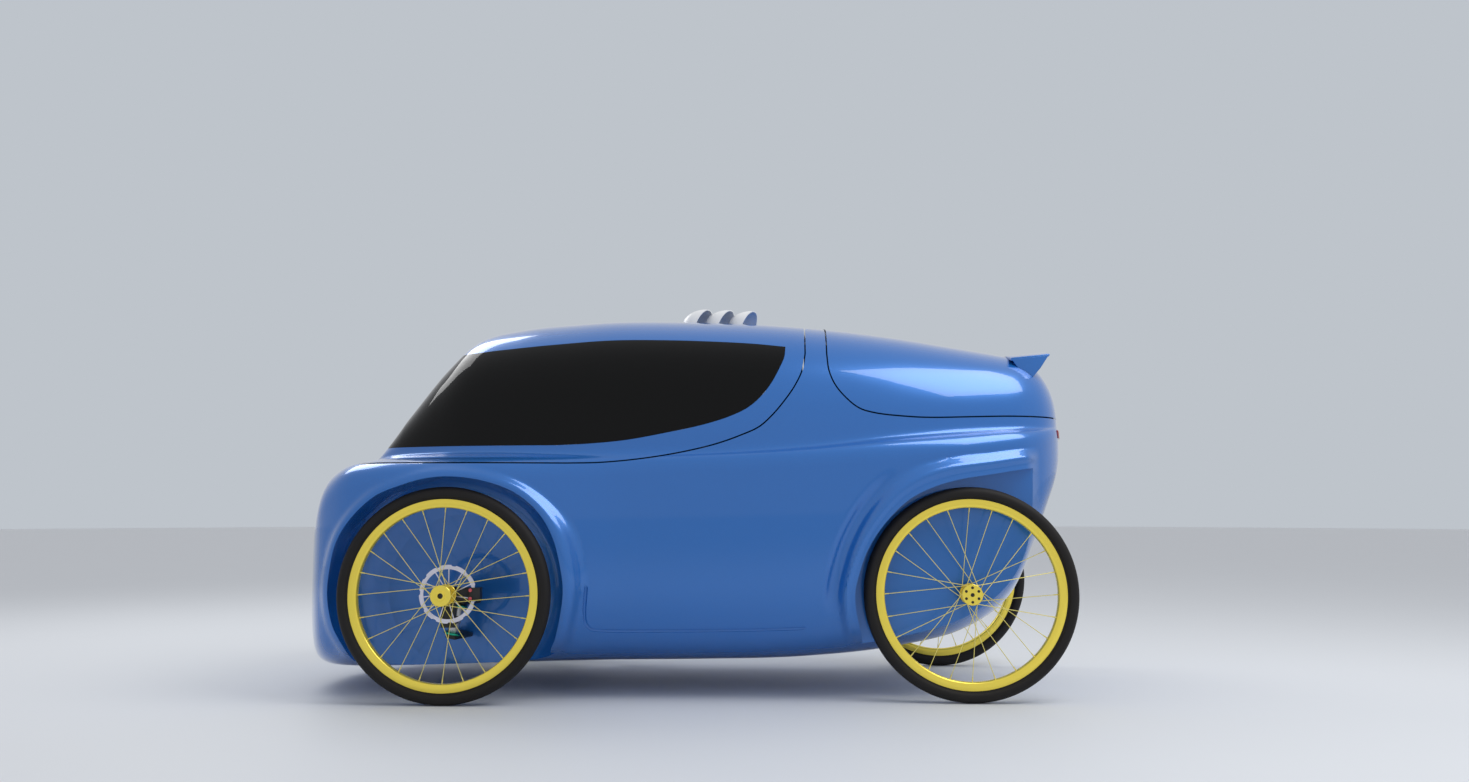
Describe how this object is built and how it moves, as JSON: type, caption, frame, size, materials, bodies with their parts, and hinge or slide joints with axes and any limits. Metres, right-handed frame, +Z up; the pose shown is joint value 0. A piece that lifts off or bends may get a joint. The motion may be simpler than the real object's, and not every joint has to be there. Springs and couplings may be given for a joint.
{
  "type": "velomobile",
  "caption": "Enclosed four-wheeled pedal vehicle with a lifting glazed canopy, a tail lid, steered spoked front wheels and half-open rear wheels.",
  "frame": {"origin": "on the ground below the middle of the vehicle's length and width", "axes": "+X forward along the vehicle, +Y to its left, +Z up"},
  "size_m": [2.259, 1.0742, 1.1522],
  "materials": {
    "blue_paint": "glossy metallic blue",
    "dark_glass": "dark tinted, glossy",
    "gold_rim": "gold anodised, satin",
    "tyre_rubber": "slick black rubber",
    "silver_metal": "satin aluminium",
    "green_ring": "green anodised",
    "black_metal": "black coated",
    "disc_steel": "ground steel",
    "white_plastic": "glossy white",
    "red_lens": "glossy red lens",
    "seat_foam": "black mesh fabric"
  },
  "bodies": {
    "body": {"body_shell": "blue_paint", "canopy_hinge": "black_metal", "tail_lid_hinge": "black_metal", "nose_lamp": "dark_glass", "tail_lamp": "red_lens", "bulkhead": "black_metal", "main_beam": "silver_metal", "pedal_mast": "black_metal", "seat": "seat_foam", "seat_rail_left": "silver_metal", "seat_rail_right": "silver_metal", "steering_lever_left": "silver_metal", "steering_lever_right": "silver_metal", "lever_grip_left": "black_metal", "lever_grip_right": "black_metal", "lower_arm_left": "black_metal", "lower_arm_right": "black_metal", "upper_arm_left": "black_metal", "upper_arm_right": "black_metal", "headset_ring_lower_left": "green_ring", "headset_ring_lower_right": "green_ring", "headset_ring_upper_left": "green_ring", "headset_ring_upper_right": "green_ring", "rear_axle_left": "black_metal", "rear_axle_right": "black_metal"},
    "canopy": {"canopy_shell": "blue_paint", "canopy_glass": "dark_glass", "roof_scoop_1": "white_plastic", "roof_scoop_2": "white_plastic", "roof_scoop_3": "white_plastic"},
    "lid": {"tail_lid": "blue_paint", "spoiler": "blue_paint"},
    "cranks": {"crankset": "black_metal", "pedal_left": "black_metal", "pedal_right": "black_metal"},
    "knuckle_left_body": {"knuckle_left": "silver_metal", "brake_caliper_left": "black_metal"},
    "knuckle_right_body": {"knuckle_right": "silver_metal", "brake_caliper_right": "black_metal"},
    "front_left_wheel": {"tyre_front_left": "tyre_rubber", "wheel_front_left": "gold_rim", "brake_disc_front_left": "disc_steel"},
    "front_right_wheel": {"tyre_front_right": "tyre_rubber", "wheel_front_right": "gold_rim", "brake_disc_front_right": "disc_steel"},
    "rear_left_wheel": {"tyre_rear_left": "tyre_rubber", "wheel_rear_left": "gold_rim"},
    "rear_right_wheel": {"tyre_rear_right": "tyre_rubber", "wheel_rear_right": "gold_rim"}
  },
  "joints": [
    {"name": "canopy_lift", "type": "hinge", "parent": "body", "child": "canopy", "pos_m": [0.97371, 0, 0.653], "axis": [0, 1, 0], "range_deg": [0, 65]},
    {"name": "tail_lid_lift", "type": "hinge", "parent": "body", "child": "lid", "pos_m": [-0.4215, 0, 1.07319], "axis": [0, 1, 0], "range_deg": [0, 60]},
    {"name": "crank_turn", "type": "hinge", "parent": "body", "child": "cranks", "pos_m": [0.6705, 0, 0.345], "axis": [0, 1, 0], "continuous": true},
    {"name": "steer_left", "type": "hinge", "parent": "body", "child": "knuckle_left_body", "pos_m": [0.6135, 0.418, 0.222], "axis": [-0.225, 0, 0.9744], "range_deg": [-20, 20]},
    {"name": "steer_right", "type": "hinge", "parent": "body", "child": "knuckle_right_body", "pos_m": [0.6135, -0.418, 0.222], "axis": [-0.225, 0, 0.9744], "range_deg": [-20, 20]},
    {"name": "roll_front_left", "type": "hinge", "parent": "knuckle_left_body", "child": "front_left_wheel", "pos_m": [0.6255, 0.505, 0.2935], "axis": [0, 1, 0], "continuous": true},
    {"name": "roll_front_right", "type": "hinge", "parent": "knuckle_right_body", "child": "front_right_wheel", "pos_m": [0.6255, -0.505, 0.2935], "axis": [0, 1, 0], "continuous": true},
    {"name": "roll_rear_left", "type": "hinge", "parent": "body", "child": "rear_left_wheel", "pos_m": [-0.8095, 0.4, 0.2935], "axis": [0, 1, 0], "continuous": true},
    {"name": "roll_rear_right", "type": "hinge", "parent": "body", "child": "rear_right_wheel", "pos_m": [-0.8095, -0.4, 0.2935], "axis": [0, 1, 0], "continuous": true}
  ],
  "couplings": [
    {"joint": "steer_right", "follows": "steer_left", "ratio": 1}
  ]
}
